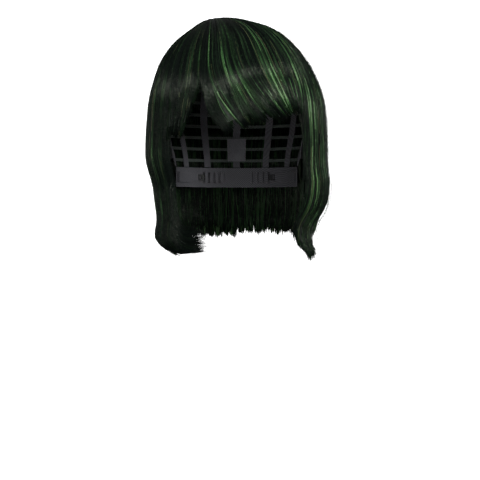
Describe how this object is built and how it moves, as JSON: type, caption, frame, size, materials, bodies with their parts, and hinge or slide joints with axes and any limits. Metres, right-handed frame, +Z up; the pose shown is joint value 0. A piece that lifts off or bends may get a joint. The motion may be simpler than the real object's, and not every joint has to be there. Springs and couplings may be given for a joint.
{
  "type": "costume wig",
  "caption": "Short costume bob wig: near-black hair with green streaks on a stretch wefted cap with a side-swept fringe, ear tabs and hook adjusters at the nape.",
  "frame": {"origin": "centre of the head opening, at the hat line where the head is widest", "axes": "+Z up through the crown, -Y the way the wearer faces, +X towards the viewer's right"},
  "size_m": [0.183, 0.2201, 0.2405],
  "materials": {
    "hair_dark": "glossy fibre",
    "hair_green": "glossy fibre",
    "cap_net": "matte",
    "elastic": "matte",
    "label_cloth": "satin",
    "hook_plastic": "gloss"
  },
  "bodies": {
    "cap": {"crown_net": "cap_net", "whorl_patch": "label_cloth", "forehead_band": "cap_net", "comfort_strip": "label_cloth", "nape_band": "elastic", "care_label": "label_cloth", "ear_arch_left": "elastic", "ear_arch_right": "elastic", "ribbon_middle": "elastic", "ribbon_left_1": "elastic", "ribbon_left_2": "elastic", "ribbon_left_3": "elastic", "ribbon_left_4": "elastic", "ribbon_right_1": "elastic", "ribbon_right_2": "elastic", "ribbon_right_3": "elastic", "ribbon_right_4": "elastic", "weft_track_1": "hair_dark", "weft_track_2": "hair_dark", "weft_track_3": "hair_dark", "weft_track_4": "hair_dark", "weft_track_5": "hair_dark", "weft_track_6": "hair_dark", "weft_track_7": "hair_dark", "weft_track_8": "hair_dark", "weft_track_9": "hair_dark", "weft_track_10": "hair_dark", "fringe_track_1": "hair_dark", "fringe_track_2": "hair_dark", "fringe_track_3": "hair_dark", "crown_track_inner": "hair_dark", "crown_track_outer": "hair_dark", "hook_loops_left": "elastic", "hook_loops_right": "elastic", "strap_channel_left": "cap_net", "strap_channel_right": "cap_net", "crown_hair": "hair_dark", "nape_hair": "hair_dark"},
    "fringe_left": {"fringe_hair_left": "hair_dark"},
    "fringe_middle": {"fringe_hair_middle": "hair_green"},
    "fringe_right": {"fringe_hair_right": "hair_dark"},
    "cheek_left": {"cheek_hair_left": "hair_green"},
    "cheek_right": {"cheek_hair_right": "hair_green"},
    "side_left": {"side_hair_left": "hair_dark"},
    "side_right": {"side_hair_right": "hair_dark"},
    "back_left": {"back_hair_left": "hair_dark"},
    "back_middle": {"back_hair_middle": "hair_dark"},
    "back_right": {"back_hair_right": "hair_dark"},
    "ear_tab_left": {"ear_tab_left": "cap_net"},
    "ear_tab_right": {"ear_tab_right": "cap_net"},
    "adjuster_left": {"strap_left": "elastic", "hook_left": "hook_plastic"},
    "adjuster_right": {"strap_right": "elastic", "hook_right": "hook_plastic"}
  },
  "joints": [
    {"name": "fringe_left_swing", "type": "hinge", "parent": "cap", "child": "fringe_left", "pos_m": [-0.0453, -0.07381, 0.03396], "axis": [-0.7272, 0.6864, 0], "range_deg": [0, 35]},
    {"name": "fringe_middle_swing", "type": "hinge", "parent": "cap", "child": "fringe_middle", "pos_m": [-0.01737, -0.09013, 0.03396], "axis": [-0.9643, 0.2648, 0], "range_deg": [0, 35]},
    {"name": "fringe_right_swing", "type": "hinge", "parent": "cap", "child": "fringe_right", "pos_m": [0.02636, -0.07852, 0.03396], "axis": [-0.8656, -0.5008, 0], "range_deg": [0, 35]},
    {"name": "cheek_left_swing", "type": "hinge", "parent": "cap", "child": "cheek_left", "pos_m": [-0.06721, -0.04111, 0.00415], "axis": [-0.3657, 0.9307, 0], "range_deg": [0, 25]},
    {"name": "cheek_right_swing", "type": "hinge", "parent": "cap", "child": "cheek_right", "pos_m": [0.06721, -0.04111, 0.00415], "axis": [-0.3657, -0.9307, 0], "range_deg": [0, 25]},
    {"name": "side_left_swing", "type": "hinge", "parent": "cap", "child": "side_left", "pos_m": [-0.07433, 0.00701, 0.00415], "axis": [0.0552, 0.9985, 0], "range_deg": [0, 25]},
    {"name": "side_right_swing", "type": "hinge", "parent": "cap", "child": "side_right", "pos_m": [0.07433, 0.00701, 0.00415], "axis": [0.0552, -0.9985, 0], "range_deg": [0, 25]},
    {"name": "back_left_swing", "type": "hinge", "parent": "cap", "child": "back_left", "pos_m": [-0.05169, 0.06246, 0.00415], "axis": [0.5891, 0.8081, 0], "range_deg": [0, 20]},
    {"name": "back_middle_swing", "type": "hinge", "parent": "cap", "child": "back_middle", "pos_m": [-0.00004, 0.09131, 0.00415], "axis": [1, 0, 0], "range_deg": [0, 20]},
    {"name": "back_right_swing", "type": "hinge", "parent": "cap", "child": "back_right", "pos_m": [0.05169, 0.06246, 0.00415], "axis": [0.5891, -0.8081, 0], "range_deg": [0, 20]},
    {"name": "ear_tab_left_fold", "type": "hinge", "parent": "cap", "child": "ear_tab_left", "pos_m": [-0.07302, -0.0213, -0.009], "axis": [-0.1798, 0.9837, 0], "range_deg": [0, 15], "stiffness_Nm_per_rad": 0.01},
    {"name": "ear_tab_right_fold", "type": "hinge", "parent": "cap", "child": "ear_tab_right", "pos_m": [0.07302, -0.0213, -0.009], "axis": [-0.1798, -0.9837, 0], "range_deg": [0, 15], "stiffness_Nm_per_rad": 0.01},
    {"name": "adjuster_left_travel", "type": "hinge", "parent": "cap", "child": "adjuster_left", "pos_m": [0, 0, -0.066], "axis": [0, 0, -1], "range_deg": [0, 16.5]},
    {"name": "adjuster_right_travel", "type": "hinge", "parent": "cap", "child": "adjuster_right", "pos_m": [0, 0, -0.066], "axis": [0, 0, 1], "range_deg": [0, 16.5]}
  ]
}
